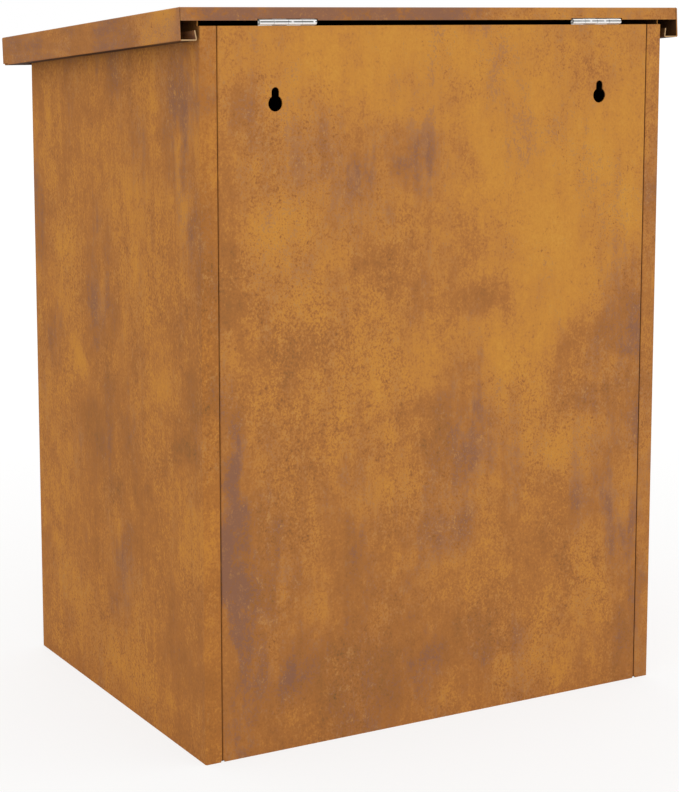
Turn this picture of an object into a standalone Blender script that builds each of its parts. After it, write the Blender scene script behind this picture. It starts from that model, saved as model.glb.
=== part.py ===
"""A box mailbox folded from rusted sheet steel, with a sloping lid, a front door and a cam lock.

Metres, +Z up, the front faces -Y. The origin is the middle of the underside.
"""

import math

import bmesh
import bpy
from mathutils import Matrix, Vector

# Sheet and clearances
SHEET = 0.0008
BEND_RADIUS = 0.0002
BEND_STEPS = 3
TOUCH_GAP = 0.0003
SHEET_GAP = 0.0004
HOLE_REACH = 0.006

# Body
BODY_WIDTH = 0.354
BODY_DEPTH = 0.282
BACK_HEIGHT = 0.4673
REAR_FLANGE = 0.01175
REAR_RETURN = 0.012
SEAM_GAP = 0.0005
STILE = 0.015
JAMB_DEPTH = 0.0125
STOP_LIP = 0.008
SAFE_EDGE = 0.012
SAFE_EDGE_INSET = 0.016
WALL_STEP = 0.0035
TRAY_FLANGE = 0.015
SILL_HEIGHT = 0.025
SILL_FLANGE = 0.009
DRAIN_RADIUS = 0.003
DRAIN_INSET = 0.055

# Keyholes in the back
KEYHOLE_INSET = 0.052
KEYHOLE_DROP = 0.0479
KEYHOLE_RADIUS = 0.00505
KEYHOLE_SLOT = 0.0054
KEYHOLE_RISE = 0.0101

# Lid
LID_OVERHANG = 0.01385
LID_FRONT_OVERHANG = 0.02172
LID_OVER_HINGE = 0.00925
LID_SLOPE = math.radians(4.09)
LID_SKIRT = 0.0203
LID_REAR_LIP = 0.0082
CHANNEL_GAP = 0.002
CHANNEL_LIP = 0.0064
CHANNEL_LIP_TURN = 100
FRONT_HEM = 0.008
LID_TO_WALL = 0.002

# Rolled hinges, one size for the lid and the door
HINGE_LENGTH = 0.040
HINGE_SHEET = 0.0008
PIN_RADIUS = 0.00085
PIN_PLAY = 0.0001
KNUCKLES = 4
KNUCKLE_GAP = 0.0003
CURL_TURN = 290
CURL_STEP = 15
LEAF_REACH = 0.021
CRANKED_REACH = 0.018
DOOR_LEAF_REACH = 0.0115
LID_HINGE_RISE = 0.0022
LID_HINGE_INSET = {"right": 0.0607, "left": 0.0555}
LID_NOTCH_END = 0.0013

# Door
DOOR_EDGE_GAP = 0.0015
DOOR_RETURN = 0.012
RAIL_DROP = 0.0068
RAIL_FLANGE = 0.012
DOOR_HINGE_INSET = 0.055

# Cam lock
LOCK_INSET = 0.030
LOCK_BODY_RADIUS = 0.009
LOCK_BODY_FLAT = 0.008
LOCK_FLANGE_RADIUS = 0.0115
LOCK_FLANGE_THICKNESS = 0.0026
LOCK_FLANGE_EASE = 0.0006
LOCK_BODY_LENGTH = 0.0140
PLUG_RADIUS = 0.006
PLUG_PLAY = 0.0002
PLUG_HEAD_RADIUS = 0.0074
PLUG_HEAD_THICKNESS = 0.0012
PLUG_SQUARE = 0.007
KEY_SLOT_WIDTH = 0.0012
KEY_SLOT_LENGTH = 0.007
KEY_SLOT_DEPTH = 0.005
NUT_ACROSS_FLATS = 0.022
NUT_THICKNESS = 0.0036
CAM_THICKNESS = 0.002
CAM_HUB_RADIUS = 0.0085
CAM_TIP_RADIUS = 0.0055
CAM_LENGTH = 0.0295
CAM_SCREW_HEAD_RADIUS = 0.0056
CAM_SCREW_HEAD = 0.0024
CAM_SCREW_TOP_RADIUS = 0.0048
CAM_SCREW_RADIUS = 0.002
CAM_SCREW_DEPTH = 0.006

# Rivets in the rear seams and buffers under the lid
RIVET_COUNT = 5
RIVET_RADIUS = 0.0016
RIVET_HEAD_RADIUS = 0.0031
RIVET_HEAD = 0.0009
RIVET_HEAD_EDGE = 0.0007
RIVET_HEAD_CROWN = 0.0023
RIVET_TAIL_RADIUS = 0.0023
RIVET_TAIL = 0.0024
RIVET_TAIL_EDGE = 0.0014
RIVET_TAIL_CROWN = 0.0016
RIVET_END = 0.045
BUFFER_HEAD_RADIUS = 0.0045
BUFFER_CROWN_RADIUS = 0.0034
BUFFER_HEAD_EDGE = 0.0007
BUFFER_STEM_RADIUS = 0.0022
BUFFER_BARB_RADIUS = 0.0030
BUFFER_STEM = 0.0035
BUFFER_TIP_RADIUS = 0.0015
BUFFER_INSET = 0.0055
BUFFER_END = 0.045

# Worked out from the sizes above
OUTER_RADIUS = BEND_RADIUS + SHEET
HALF_WIDTH = BODY_WIDTH / 2
KEYHOLE_HEIGHT = BACK_HEIGHT - KEYHOLE_DROP
LID_HINGE_HEIGHT = BACK_HEIGHT + LID_HINGE_RISE
LID_REAR_HEIGHT = LID_HINGE_HEIGHT + LID_OVER_HINGE
LID_WIDTH = BODY_WIDTH + 2 * LID_OVERHANG
BACK_Y = BODY_DEPTH / 2
FRONT_Y = -BODY_DEPTH / 2
BORE_RADIUS = PIN_RADIUS + PIN_PLAY
KNUCKLE_RADIUS = BORE_RADIUS + HINGE_SHEET
LID_HINGE_Y = BACK_Y - SHEET - TOUCH_GAP + BORE_RADIUS
PANEL_HALF = HALF_WIDTH - REAR_FLANGE - SEAM_GAP
FLOOR_CLEARANCE = SHEET + SHEET_GAP
SLOPE_COS = math.cos(LID_SLOPE)
SLOPE_TAN = math.tan(LID_SLOPE)
LID_LENGTH = (BODY_DEPTH + LID_FRONT_OVERHANG) / SLOPE_COS
JAMB_X = HALF_WIDTH - STILE
DOOR_HINGE_X = -JAMB_X + KNUCKLE_RADIUS + TOUCH_GAP
DOOR_LEFT = DOOR_HINGE_X + KNUCKLE_RADIUS + TOUCH_GAP
DOOR_RIGHT = JAMB_X - DOOR_EDGE_GAP
DOOR_BOTTOM = SILL_HEIGHT + DOOR_EDGE_GAP


def lid_underside(y):
    """Height of the lid plate's underside above the point y of the body."""
    return LID_REAR_HEIGHT - (BACK_Y - y) * SLOPE_TAN - SHEET / SLOPE_COS


def wall_top(y):
    """Height of the body's upper edges, a little under the lid plate."""
    return lid_underside(y) - LID_TO_WALL / SLOPE_COS


LID_FRONT_DROP = (LID_LENGTH * math.sin(LID_SLOPE)) + LID_SKIRT * SLOPE_COS
RAIL_BOTTOM = LID_REAR_HEIGHT - LID_FRONT_DROP - RAIL_DROP
DOOR_TOP = RAIL_BOTTOM - DOOR_EDGE_GAP
LOCK_X = DOOR_RIGHT - LOCK_INSET
LOCK_Z = (DOOR_BOTTOM + DOOR_TOP) / 2

FINISHES = {
    "rust": ((0.42, 0.20, 0.055, 1.0), 0.75, 0.2),
    "zinc": ((0.80, 0.80, 0.78, 1.0), 0.25, 1.0),
    "chrome": ((0.72, 0.72, 0.72, 1.0), 0.18, 1.0),
    "rubber": ((0.02, 0.02, 0.02, 1.0), 0.85, 0.0),
}

SIDES = {"right": 1, "left": -1}
LID_HINGE_X = {hand: side * (HALF_WIDTH - LID_HINGE_INSET[hand]) for hand, side in SIDES.items()}
X_AXIS = Vector((1, 0, 0))
Y_AXIS = Vector((0, 1, 0))
Z_AXIS = Vector((0, 0, 1))


def clear_scene():
    for item in list(bpy.data.objects):
        bpy.data.objects.remove(item, do_unlink=True)


def new_collection(name):
    collection = bpy.data.collections.new(name)
    bpy.context.scene.collection.children.link(collection)
    return collection


def new_finish(name, kind):
    colour, roughness, metallic = FINISHES[kind]
    material = bpy.data.materials.new(name)
    material.use_nodes = True
    shader = material.node_tree.nodes["Principled BSDF"]
    shader.inputs["Base Color"].default_value = colour
    shader.inputs["Roughness"].default_value = roughness
    shader.inputs["Metallic"].default_value = metallic
    return material


def add_part(name, mesh, kind, parent=None, matrix=None):
    """Puts a mesh in the scene as one named part, at a world matrix."""
    part = bpy.data.objects.new(name, mesh)
    PARTS.objects.link(part)
    mesh.materials.clear()
    mesh.materials.append(new_finish(name + "_finish", kind))
    place(part, parent, matrix)
    return part


def place(item, parent=None, matrix=None):
    matrix = matrix or Matrix.Identity(4)
    item.parent = parent
    while parent:
        matrix = Matrix.Translation(-parent.location) @ matrix
        parent = parent.parent
    item.matrix_basis = matrix


def add_axis(name, location, parent=None):
    """An empty on a joint's axis, which carries the pieces that turn on it."""
    axis = bpy.data.objects.new(name, None)
    PARTS.objects.link(axis)
    axis.empty_display_size = 0.03
    axis.location = location
    if parent:
        axis.parent = parent
        axis.location = Vector(location) - parent.location
    return axis


def add_cutter(name, mesh, matrix):
    cutter = bpy.data.objects.new(name, mesh)
    CUTTERS.objects.link(cutter)
    cutter.matrix_basis = matrix
    cutter.hide_render = True
    cutter.display_type = "WIRE"
    return cutter


def cut(part, cutter):
    modifier = part.modifiers.new("cut " + cutter.name, "BOOLEAN")
    modifier.operation = "DIFFERENCE"
    modifier.solver = "EXACT"
    modifier.object = cutter


def mesh_from(name, bm):
    mesh = bpy.data.meshes.new(name)
    bm.to_mesh(mesh)
    bm.free()
    return mesh


def box_mesh(name, low, high):
    bm = bmesh.new()
    bmesh.ops.create_cube(bm, size=1)
    low, high = Vector(low), Vector(high)
    size = Matrix.Diagonal((*(high - low), 1))
    bmesh.ops.transform(bm, matrix=Matrix.Translation((low + high) / 2) @ size, verts=bm.verts)
    return mesh_from(name, bm)


def cylinder_mesh(name, radius, depth, segments):
    """A cylinder along local Z, centred on its own middle."""
    bm = bmesh.new()
    bmesh.ops.create_cone(
        bm, cap_ends=True, segments=segments, radius1=radius, radius2=radius, depth=depth
    )
    mesh = mesh_from(name, bm)
    mesh.shade_smooth()
    mesh.set_sharp_from_angle(angle=math.radians(35))
    return mesh


def outline_mesh(name, points, thickness):
    """A flat outline in local XY, thickened evenly to both sides of its plane."""
    curve = bpy.data.curves.new(name, "CURVE")
    curve.dimensions = "2D"
    curve.fill_mode = "BOTH"
    curve.extrude = thickness / 2
    spline = curve.splines.new("POLY")
    spline.points.add(len(points) - 1)
    for point, (x, y) in zip(spline.points, points):
        point.co = (x, y, 0, 1)
    spline.use_cyclic_u = True
    return mesh_of_curve(name, curve)


def mesh_of_curve(name, curve):
    holder = bpy.data.objects.new(name, curve)
    CUTTERS.objects.link(holder)
    graph = bpy.context.evaluated_depsgraph_get()
    mesh = bpy.data.meshes.new_from_object(holder.evaluated_get(graph))
    bpy.data.objects.remove(holder, do_unlink=True)
    bm = bmesh.new()
    bm.from_mesh(mesh)
    bmesh.ops.remove_doubles(bm, verts=bm.verts, dist=0.00001)
    bmesh.ops.recalc_face_normals(bm, faces=bm.faces)
    bm.to_mesh(mesh)
    bm.free()
    mesh.name = name
    return mesh


def arc(centre, radius, start, end, steps):
    """Points of an arc in degrees, both ends included."""
    points = []
    for step in range(steps + 1):
        angle = math.radians(start + (end - start) * step / steps)
        points.append((centre[0] + radius * math.cos(angle), centre[1] + radius * math.sin(angle)))
    return points


def turned_mesh(name, profile, steps=20):
    """A mesh turned about local Z, from a profile of (radius, height) down its outer side."""
    bm = bmesh.new()
    corners = [bm.verts.new((radius, 0, height)) for radius, height in profile]
    for first, second in zip(corners, corners[1:]):
        bm.edges.new((first, second))
    if profile[0][0] > 0:
        bm.edges.new((corners[-1], corners[0]))
    holder = bpy.data.objects.new(name, mesh_from(name + "_profile", bm))
    CUTTERS.objects.link(holder)
    screw = holder.modifiers.new("turned", "SCREW")
    screw.axis = "Z"
    screw.steps = steps
    screw.render_steps = steps
    screw.use_merge_vertices = True
    screw.merge_threshold = 0.00001
    graph = bpy.context.evaluated_depsgraph_get()
    mesh = bpy.data.meshes.new_from_object(holder.evaluated_get(graph))
    bpy.data.objects.remove(holder, do_unlink=True)
    mesh.name = name
    mesh.set_sharp_from_angle(angle=math.radians(35))
    return mesh


def face(bm, verts, normal):
    """One face of a sheet, turned so that it looks along normal."""
    made = bm.faces.new(verts)
    made.normal_update()
    if made.normal.dot(normal) < 0:
        made.normal_flip()
    return made


def fold(bm, line, outward, normal, bends):
    """Folds a run of flats from the bend line of a sheet's outer surface.

    line holds the two corners of the bend line, outward points away from the sheet and normal is
    the sheet's outer side. Each bend is (turn, size, trim at the start, trim at the end): a turn in
    degrees, positive away from the outer side, and the flat's size between its virtual corners.
    """
    near = list(line)
    along = (line[1].co - line[0].co).normalized()
    for index, (turn, size, *_) in enumerate(bends):
        angle = math.radians(abs(turn))
        side = 1 if turn > 0 else -1
        radius = OUTER_RADIUS if turn > 0 else BEND_RADIUS
        base = [vert.co.copy() for vert in near]
        for step in range(1, BEND_STEPS + 1):
            part_angle = angle * step / BEND_STEPS
            shift = outward * radius * math.sin(part_angle)
            shift -= normal * side * radius * (1 - math.cos(part_angle))
            far = [bm.verts.new(corner + shift) for corner in base]
            middle = part_angle - angle / BEND_STEPS / 2
            facing = normal * math.cos(middle) + outward * side * math.sin(middle)
            face(bm, (near[0], near[1], far[1], far[0]), facing)
            near = far
        turned = outward * math.cos(angle) - normal * side * math.sin(angle)
        normal = normal * math.cos(angle) + outward * side * math.sin(angle)
        outward = turned
        flat = size - setback(turn)
        trims = (0, 0)
        if index + 1 < len(bends):
            following = bends[index + 1]
            flat -= setback(following[0])
            trims = following[2:]
        ends = [vert.co + outward * flat for vert in near]
        far = [bm.verts.new(end) for end in ends]
        inner = list(far)
        if trims[0]:
            inner[0] = bm.verts.new(ends[0] + along * trims[0])
        if trims[1]:
            inner[1] = bm.verts.new(ends[1] - along * trims[1])
        loop = [near[0], near[1], far[1]]
        if inner[1] is not far[1]:
            loop.append(inner[1])
        if inner[0] is not far[0]:
            loop.append(inner[0])
        loop.append(far[0])
        face(bm, loop, normal)
        near = inner


def setback(turn):
    """How far a bend of the outer surface starts before its virtual corner."""
    radius = OUTER_RADIUS if turn > 0 else BEND_RADIUS
    return radius * math.tan(math.radians(abs(turn)) / 2)


def add_sheet(name, bm, matrix=None, parent=None):
    """Gives a folded outer surface its sheet thickness, inwards."""
    part = add_part(name, mesh_from(name, bm), "rust", parent, matrix)
    shell = part.modifiers.new("sheet thickness", "SOLIDIFY")
    shell.thickness = SHEET
    shell.offset = -1
    shell.use_even_offset = True
    return part


def pan(bm, left, right, bottom, top, depth, hem_sides, hem_ends=()):
    """A flat plate in local XY with folded skirts.

    The two sides run its whole height, and the ends stand between them. depth holds the skirts'
    depths at the sides, bottom and top, hem_sides and hem_ends the bends that follow them.
    """
    side_depth, bottom_depth, top_depth = depth
    reach = SHEET + SHEET_GAP
    low, high = bottom + OUTER_RADIUS, top - OUTER_RADIUS
    corners = [
        (left + OUTER_RADIUS, bottom), (left + reach, bottom), (left + reach, low),
        (right - reach, low), (right - reach, bottom), (right - OUTER_RADIUS, bottom),
        (right - OUTER_RADIUS, top), (right - reach, top), (right - reach, high),
        (left + reach, high), (left + reach, top), (left + OUTER_RADIUS, top),
    ]
    verts = [bm.verts.new((x, y, 0)) for x, y in corners]
    face(bm, verts, Z_AXIS)
    fold(bm, (verts[5], verts[6]), X_AXIS, Z_AXIS, [(90, side_depth, 0, 0), *hem_sides])
    fold(bm, (verts[0], verts[11]), -X_AXIS, Z_AXIS, [(90, side_depth, 0, 0), *hem_sides])
    fold(bm, (verts[2], verts[3]), -Y_AXIS, Z_AXIS, [(90, bottom_depth, 0, 0), *hem_ends])
    fold(bm, (verts[9], verts[8]), Y_AXIS, Z_AXIS, [(90, top_depth, 0, 0)])


def make_side_panel(name, side):
    """Side wall with its rear flange and return, front stile, jamb and stop lip, and a safe edge."""
    out = X_AXIS * side
    x = HALF_WIDTH * side
    rear, front = BACK_Y - OUTER_RADIUS, FRONT_Y + OUTER_RADIUS
    step_y = BACK_Y - WALL_STEP
    edge_rear, edge_front = step_y - SAFE_EDGE_INSET, FRONT_Y + SAFE_EDGE_INSET
    drop = OUTER_RADIUS / SLOPE_COS
    bm = bmesh.new()
    corners = [
        (front, 0), (rear, 0), (rear, BACK_HEIGHT), (step_y, BACK_HEIGHT),
        (step_y, wall_top(step_y) - drop), (edge_rear, wall_top(edge_rear) - drop),
        (edge_front, wall_top(edge_front) - drop), (front, wall_top(front) - drop),
    ]
    verts = [bm.verts.new((x, y, z)) for y, z in corners]
    face(bm, verts, out)
    fold(
        bm, (verts[1], verts[2]), Y_AXIS, out,
        [(90, REAR_FLANGE, 0, 0), (90, REAR_RETURN, FLOOR_CLEARANCE, 0)],
    )
    stile_top = verts[7].co.z
    fold(
        bm, (verts[0], verts[7]), -Y_AXIS, out,
        [
            (90, STILE, 0, 0),
            (90, JAMB_DEPTH, FLOOR_CLEARANCE, stile_top - DOOR_TOP),
            (-90, STOP_LIP, SILL_HEIGHT - FLOOR_CLEARANCE, 0),
        ],
    )
    up_slope = Vector((0, -math.sin(LID_SLOPE), math.cos(LID_SLOPE)))
    fold(bm, (verts[6], verts[5]), up_slope, out, [(90, SAFE_EDGE, 0, 0)])
    panel = add_sheet(name, bm)
    for end, y in buffer_ends().items():
        radius = BUFFER_STEM_RADIUS + TOUCH_GAP
        hole = cylinder_mesh(f"{name}_{end}_buffer_hole", radius, HOLE_REACH, 16)
        cut(panel, add_cutter(hole.name, hole, buffer_place(side, y)))
    for height in rivet_heights():
        place_matrix = rivet_place(side, height)
        hole = cylinder_mesh(f"{name}_rivet_hole", RIVET_RADIUS + TOUCH_GAP, HOLE_REACH, 12)
        cut(panel, add_cutter(hole.name, hole, place_matrix))
    return panel


def buffer_ends():
    """How far back the two buffers of a safe edge stand."""
    rear = BACK_Y - WALL_STEP - SAFE_EDGE_INSET
    front = FRONT_Y + SAFE_EDGE_INSET
    return {"rear": rear - BUFFER_END, "front": front + BUFFER_END}


def buffer_place(side, y):
    """The middle of a buffer's hole, on the top of a safe edge and square to it."""
    x = (HALF_WIDTH - BUFFER_INSET) * side
    return Matrix.Translation((x, y, wall_top(y))) @ Matrix.Rotation(LID_SLOPE, 4, "X")


def rivet_heights():
    first, last = RIVET_END, BACK_HEIGHT - RIVET_END
    return [first + (last - first) * index / (RIVET_COUNT - 1) for index in range(RIVET_COUNT)]


def rivet_place(side, height):
    """The middle of a rear seam's rivet, with local Z towards the side wall."""
    x = (HALF_WIDTH - REAR_FLANGE - SEAM_GAP / 2) * side
    y = BACK_Y - (REAR_RETURN + OUTER_RADIUS) / 2
    return Matrix.Translation((x, y, height)) @ Matrix.Rotation(math.radians(90) * side, 4, "Y")


def keyhole_points():
    """A round hole with a narrower slot with a round end above it."""
    half = KEYHOLE_SLOT / 2
    meet = math.degrees(math.acos(half / KEYHOLE_RADIUS))
    points = arc((0, 0), KEYHOLE_RADIUS, 180 - meet, 360 + meet, 20)
    return points + arc((0, KEYHOLE_RISE - half), half, 0, 180, 8)


def make_back_panel():
    """Back panel with a forward return along each side and two keyholes."""
    bm = bmesh.new()
    edge = PANEL_HALF - OUTER_RADIUS
    low = FLOOR_CLEARANCE
    corners = [
        (-edge, 0), (edge, 0), (edge, low), (edge, BACK_HEIGHT), (-edge, BACK_HEIGHT), (-edge, low),
    ]
    verts = [bm.verts.new((x, BACK_Y, z)) for x, z in corners]
    face(bm, verts, Y_AXIS)
    fold(bm, (verts[2], verts[3]), X_AXIS, Y_AXIS, [(90, REAR_RETURN, 0, 0)])
    fold(bm, (verts[5], verts[4]), -X_AXIS, Y_AXIS, [(90, REAR_RETURN, 0, 0)])
    panel = add_sheet("back_panel", bm)
    upright = Matrix.Rotation(math.radians(90), 4, "X")
    for side in (1, -1):
        middle = Vector((side * (HALF_WIDTH - KEYHOLE_INSET), BACK_Y, KEYHOLE_HEIGHT))
        hole = outline_mesh(f"keyhole_{side}", keyhole_points(), HOLE_REACH)
        cut(panel, add_cutter(hole.name, hole, Matrix.Translation(middle) @ upright))
        for height in rivet_heights():
            hole = cylinder_mesh("back_rivet_hole", RIVET_RADIUS + TOUCH_GAP, HOLE_REACH, 12)
            cut(panel, add_cutter(hole.name, hole, rivet_place(side, height)))
    return panel


def make_floor_tray():
    """Floor with upturned flanges at the sides and rear, and a sill at the front."""
    bm = bmesh.new()
    gap = SHEET + TOUCH_GAP
    side = HALF_WIDTH - gap - OUTER_RADIUS
    rear = BACK_Y - gap - OUTER_RADIUS
    front = FRONT_Y + gap
    rear_half = PANEL_HALF - SHEET - 2 * SHEET_GAP
    sill_half = JAMB_X - SHEET_GAP
    corners = [
        (-side, front), (-sill_half, front), (sill_half, front), (side, front),
        (side, rear), (rear_half, rear), (-rear_half, rear), (-side, rear),
    ]
    verts = [bm.verts.new((x, y, 0)) for x, y in corners]
    face(bm, verts, -Z_AXIS)
    fold(bm, (verts[3], verts[4]), X_AXIS, -Z_AXIS, [(90, TRAY_FLANGE, 0, 0)])
    fold(bm, (verts[0], verts[7]), -X_AXIS, -Z_AXIS, [(90, TRAY_FLANGE, 0, 0)])
    fold(bm, (verts[6], verts[5]), Y_AXIS, -Z_AXIS, [(90, TRAY_FLANGE, 0, 0)])
    fold(
        bm, (verts[1], verts[2]), -Y_AXIS, -Z_AXIS,
        [(90, SILL_HEIGHT, 0, 0), (90, SILL_FLANGE, 0, 0)],
    )
    tray = add_sheet("floor_tray", bm)
    drain_x, drain_y = HALF_WIDTH - DRAIN_INSET, BACK_Y - DRAIN_INSET
    for x in (-drain_x, drain_x):
        for y in (-drain_y, drain_y):
            hole = cylinder_mesh("drain_hole", DRAIN_RADIUS, HOLE_REACH, 16)
            cut(tray, add_cutter(hole.name, hole, Matrix.Translation((x, y, 0))))
    return tray


def make_front_top_rail():
    """Rail over the door, behind the stiles, with a sloping top flange and a bottom flange."""
    bm = bmesh.new()
    gap = SHEET + TOUCH_GAP
    half = HALF_WIDTH - gap
    y = FRONT_Y + gap
    top = wall_top(y) - OUTER_RADIUS
    bottom = RAIL_BOTTOM + OUTER_RADIUS
    corners = [(-half, bottom), (half, bottom), (half, top), (-half, top)]
    verts = [bm.verts.new((x, y, z)) for x, z in corners]
    face(bm, verts, -Y_AXIS)
    turn = 90 - math.degrees(LID_SLOPE)
    fold(bm, (verts[3], verts[2]), Z_AXIS, -Y_AXIS, [(turn, RAIL_FLANGE, 0, 0)])
    fold(bm, (verts[0], verts[1]), -Z_AXIS, -Y_AXIS, [(90, RAIL_FLANGE, 0, 0)])
    return add_sheet("front_top_rail", bm)


def make_seam_rivets(hand, side):
    """Blind rivets through the two returns of a rear seam."""
    seat = SEAM_GAP / 2 + SHEET + TOUCH_GAP
    profile = [
        (0, seat + RIVET_TAIL),
        (RIVET_TAIL_CROWN, seat + RIVET_TAIL),
        (RIVET_TAIL_RADIUS, seat + RIVET_TAIL_EDGE),
        (RIVET_TAIL_RADIUS, seat),
        (RIVET_RADIUS, seat),
        (RIVET_RADIUS, -seat),
        (RIVET_HEAD_RADIUS, -seat),
        (RIVET_HEAD_CROWN, -seat - RIVET_HEAD_EDGE),
        (0, -seat - RIVET_HEAD),
    ]
    for index, height in enumerate(rivet_heights()):
        name = f"seam_rivet_{hand}_{index + 1}"
        add_part(name, turned_mesh(name, profile, 12), "zinc", None, rivet_place(side, height))


def make_lid_buffers(hand, side):
    """Rubber buffers on a safe edge, which the lid comes down on."""
    under = -SHEET - TOUCH_GAP
    top = LID_TO_WALL - TOUCH_GAP
    profile = [
        (0, top),
        (BUFFER_CROWN_RADIUS, top),
        (BUFFER_HEAD_RADIUS, TOUCH_GAP + BUFFER_HEAD_EDGE),
        (BUFFER_HEAD_RADIUS, TOUCH_GAP),
        (BUFFER_STEM_RADIUS, TOUCH_GAP),
        (BUFFER_STEM_RADIUS, under),
        (BUFFER_BARB_RADIUS, under),
        (BUFFER_TIP_RADIUS, under - BUFFER_STEM),
        (0, under - BUFFER_STEM),
    ]
    for end, y in buffer_ends().items():
        name = f"lid_buffer_{hand}_{end}"
        add_part(name, turned_mesh(name, profile, 16), "rubber", None, buffer_place(side, y))


def lid_matrix():
    """The lid's own frame: origin at the middle of its rear top edge, -Y down the slope."""
    place_rear = Matrix.Translation((0, BACK_Y, LID_REAR_HEIGHT))
    return place_rear @ Matrix.Rotation(LID_SLOPE, 4, "X")


def lid_hinge_in_lid():
    """The lid hinge's axis in the lid's own frame."""
    point = Vector((0, LID_HINGE_Y, LID_HINGE_HEIGHT))
    return lid_matrix().inverted() @ point


def make_lid_pan(axis):
    """Lid folded from one sheet: channels along its sides, a skirt and hem in front, a rear lip."""
    bm = bmesh.new()
    channel = LID_OVERHANG - CHANNEL_GAP
    hem_clear = FRONT_HEM + SHEET_GAP + SHEET
    sides = [(90, channel, hem_clear, 0), (CHANNEL_LIP_TURN, CHANNEL_LIP, 0, 0)]
    half = LID_WIDTH / 2
    depth = (LID_SKIRT, LID_SKIRT, LID_REAR_LIP)
    pan(bm, -half, half, -LID_LENGTH, 0, depth, sides, [(90, FRONT_HEM, 0, 0)])
    lid = add_sheet("lid_pan", bm, lid_matrix(), axis)
    pin = lid_hinge_in_lid()
    reach = HINGE_LENGTH / 2 + LID_NOTCH_END
    top = pin.z + KNUCKLE_RADIUS + TOUCH_GAP
    for hand, x in LID_HINGE_X.items():
        low = (x - reach, -2 * SHEET, -LID_REAR_LIP - SHEET)
        notch = box_mesh(f"lid_notch_{hand}", low, (x + reach, 2 * SHEET, top))
        cut(lid, add_cutter(notch.name, notch, lid_matrix()))
    return lid


def curl_points():
    """Outer and inner points of a rolled knuckle, from the flat of its leaf round the pin."""
    steps = round(CURL_TURN / CURL_STEP)
    outer = arc((0, 0), KNUCKLE_RADIUS, -90, -90 - CURL_TURN, steps)
    inner = arc((0, 0), BORE_RADIUS, -90 - CURL_TURN, -90, steps)
    return outer + inner


def straight_leaf_points(reach):
    """Section of a leaf that runs straight from its knuckle: local X along it, pin at the origin."""
    return [(reach, -BORE_RADIUS), (reach, -KNUCKLE_RADIUS), *curl_points()]


def cranked_leaf_points(rise, reach):
    """Section of a leaf that rises from its knuckle and bends forward under a plate."""
    outer = HINGE_SHEET + BEND_RADIUS
    centre = (rise - outer, -BORE_RADIUS - outer)
    tip = -BORE_RADIUS - reach
    points = arc(centre, outer, 90, 0, BEND_STEPS)
    points += [(rise, tip), (rise - HINGE_SHEET, tip)]
    points += arc(centre, BEND_RADIUS, 0, 90, BEND_STEPS)
    return points + curl_points()


def knuckle_rooms(name):
    """Boxes that clear the room for the other leaf's knuckles, at every second place on the pin."""
    pitch = HINGE_LENGTH / KNUCKLES
    reach = 2 * KNUCKLE_RADIUS
    rooms = []
    for index in range(0, KNUCKLES, 2):
        low = -HINGE_LENGTH / 2 + index * pitch - KNUCKLE_GAP / 2
        high = low + pitch + KNUCKLE_GAP
        if index == 0:
            low -= KNUCKLE_GAP
        corner = (KNUCKLE_RADIUS + TOUCH_GAP, reach, high)
        rooms.append(box_mesh(f"{name}_room", (-reach, -reach, low), corner))
    return rooms


def frame_matrix(origin, x_axis, y_axis):
    """A matrix whose local X and Y lie along two given directions."""
    z_axis = x_axis.cross(y_axis)
    turn = Matrix((x_axis, y_axis, z_axis)).transposed().to_4x4()
    return Matrix.Translation(origin) @ turn


def add_leaf(name, points, matrix, parent=None):
    """A leaf from its section: the two leaves of a hinge face opposite ways along the pin."""
    mesh = outline_mesh(name, points, HINGE_LENGTH)
    leaf = add_part(name, mesh, "zinc", parent, matrix)
    for room in knuckle_rooms(name):
        cut(leaf, add_cutter(room.name, room, matrix))


def add_pin(name, origin, along):
    mesh = cylinder_mesh(name, PIN_RADIUS, HINGE_LENGTH - 2 * TOUCH_GAP, 16)
    turn = Z_AXIS.rotation_difference(along).to_matrix().to_4x4()
    return add_part(name, mesh, "zinc", None, Matrix.Translation(origin) @ turn)


def make_lid_hinge(hand, axis):
    """A rolled hinge in the gap behind the lid: one leaf down the back, one cranked under the lid."""
    name = f"lid_hinge_{hand}"
    origin = Vector((LID_HINGE_X[hand], LID_HINGE_Y, LID_HINGE_HEIGHT))
    body_frame = frame_matrix(origin, -Z_AXIS, Y_AXIS)
    add_leaf(f"{name}_body_leaf", straight_leaf_points(LEAF_REACH), body_frame)
    up = lid_matrix().to_3x3() @ Z_AXIS
    back = lid_matrix().to_3x3() @ Y_AXIS
    rise = -lid_hinge_in_lid().z - SHEET - TOUCH_GAP
    points = cranked_leaf_points(rise, CRANKED_REACH)
    add_leaf(f"{name}_lid_leaf", points, frame_matrix(origin, up, back), axis)
    add_pin(f"{name}_pin", origin, X_AXIS)


def make_door_hinge(level, height, axis):
    """The same hinge upright at the door's edge, with both leaves folded into the gap."""
    name = f"door_hinge_{level}"
    origin = Vector((DOOR_HINGE_X, FRONT_Y, height))
    points = straight_leaf_points(DOOR_LEAF_REACH)
    add_leaf(f"{name}_frame_leaf", points, frame_matrix(origin, Y_AXIS, X_AXIS))
    add_leaf(f"{name}_door_leaf", points, frame_matrix(origin, Y_AXIS, -X_AXIS), axis)
    add_pin(f"{name}_pin", origin, Z_AXIS)


def double_flat_points(radius, flat):
    """A circle with two opposite flats, which stops the lock from turning in its hole."""
    half = math.degrees(math.asin(flat / radius))
    return arc((0, 0), radius, -half, half, 12) + arc((0, 0), radius, 180 - half, 180 + half, 12)


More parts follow.
